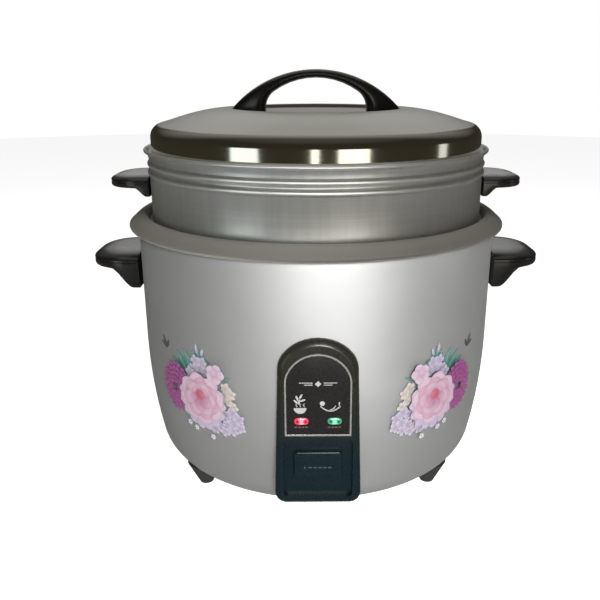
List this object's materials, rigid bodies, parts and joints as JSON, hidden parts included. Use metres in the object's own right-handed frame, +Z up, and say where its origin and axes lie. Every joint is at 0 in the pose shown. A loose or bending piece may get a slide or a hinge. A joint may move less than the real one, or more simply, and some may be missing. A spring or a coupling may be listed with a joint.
{
  "type": "rice cooker",
  "caption": "Drum rice cooker with a lift-out pot, a steamer pan, a domed steel lid, moulded handles and a front panel with a cooking lever.",
  "frame": {"origin": "centre of the box on the standing surface, under the drum's axis", "axes": "+Z up the drum's axis, -Y out of the control panel, +X to the panel's right as seen from the front"},
  "size_m": [0.438, 0.361, 0.3836],
  "materials": {
    "drum_paint": "satin silver lacquer",
    "shield_steel": "plain sheet",
    "base_steel": "dull grey",
    "foot_plastic": "satin black",
    "handle_plastic": "gloss black",
    "panel_plastic": "gloss black",
    "label_film": "satin black",
    "frame_silver": "satin",
    "lens_red": "clear red",
    "lens_green": "clear green",
    "lamp_plastic": "natural",
    "lamp_glass": "clear",
    "plate_alloy": "turned",
    "element_steel": "heat darkened",
    "contact_brass": "plain",
    "ceramic": "matt",
    "zinc_steel": "zinc plated",
    "spring_steel": "drawn",
    "magnet_iron": "dull",
    "switch_plastic": "satin",
    "button_plastic": "satin",
    "inlet_plastic": "satin",
    "wire_sleeve": "braided",
    "thermostat_plastic": "moulded",
    "pot_alloy": "satin spun",
    "steamer_alloy": "satin spun",
    "lid_steel": "polished"
  },
  "bodies": {
    "base": {"outer_shell": "drum_paint", "heat_shield": "shield_steel", "base_plate": "base_steel", "base_plate_screws": "zinc_steel", "feet": "foot_plastic", "foot_screws": "zinc_steel", "side_handle_left": "handle_plastic", "side_handle_right": "handle_plastic", "side_handle_screws": "zinc_steel", "control_housing": "panel_plastic", "housing_screws": "zinc_steel", "label_plate": "label_film", "label_frame": "frame_silver", "cook_lens": "lens_red", "warm_lens": "lens_green", "lamp_holder": "lamp_plastic", "neon_lamps": "lamp_glass", "heating_plate": "plate_alloy", "heating_element": "element_steel", "element_terminals": "contact_brass", "terminal_bushes": "ceramic", "plate_posts": "zinc_steel", "plate_screws": "zinc_steel", "sensor_sleeve": "shield_steel", "sensor_spring": "spring_steel", "lever_bracket": "zinc_steel", "bracket_rivets": "zinc_steel", "lever_pin": "zinc_steel", "lever_spring": "spring_steel", "switch_body": "switch_plastic", "switch_bracket": "zinc_steel", "switch_terminals": "contact_brass", "power_inlet": "inlet_plastic", "inlet_pins": "contact_brass", "inlet_screws": "zinc_steel", "terminal_block": "lamp_plastic", "block_screws": "contact_brass", "thermal_fuse": "ceramic", "keep_warm_thermostat": "thermostat_plastic", "inner_wires": "wire_sleeve"},
    "pot": {"inner_pot": "pot_alloy"},
    "steamer": {"steamer_pan": "steamer_alloy", "steamer_handle_left": "handle_plastic", "steamer_handle_right": "handle_plastic", "steamer_rivets": "zinc_steel"},
    "lid": {"lid_shell": "lid_steel", "lid_handle": "handle_plastic", "lid_screws": "zinc_steel"},
    "lever": {"lever_paddle": "panel_plastic", "lever_arm": "zinc_steel"},
    "magnet": {"magnet_rod": "magnet_iron"},
    "sensor": {"sensor_cap": "plate_alloy"},
    "button": {"switch_button": "button_plastic"}
  },
  "joints": [
    {"name": "pot_lift", "type": "slide", "parent": "base", "child": "pot", "axis": [0, 0, 1], "range_m": [0, 0.19]},
    {"name": "steamer_lift", "type": "slide", "parent": "pot", "child": "steamer", "axis": [0, 0, 1], "range_m": [0, 0.12]},
    {"name": "lid_lift", "type": "slide", "parent": "steamer", "child": "lid", "axis": [0, 0, 1], "range_m": [0, 0.1]},
    {"name": "cook_press", "type": "hinge", "parent": "base", "child": "lever", "pos_m": [0, -0.075, 0.052], "axis": [1, 0, 0], "range_deg": [0, 4.5], "stiffness_Nm_per_rad": 1.2},
    {"name": "magnet_lift", "type": "slide", "parent": "base", "child": "magnet", "axis": [0, 0, 1], "range_m": [0, 0.006]},
    {"name": "switch_press", "type": "slide", "parent": "base", "child": "button", "axis": [0, 0, -1], "range_m": [0, 0.0017]},
    {"name": "sensor_press", "type": "slide", "parent": "base", "child": "sensor", "axis": [0, 0, 1], "range_m": [-0.003, 0], "stiffness_N_per_m": 400, "deforming": ["sensor_spring"]}
  ],
  "couplings": [
    {"joint": "magnet_lift", "follows": "cook_press", "m_per_rad": 0.075},
    {"joint": "switch_press", "follows": "cook_press", "m_per_rad": 0.021}
  ]
}
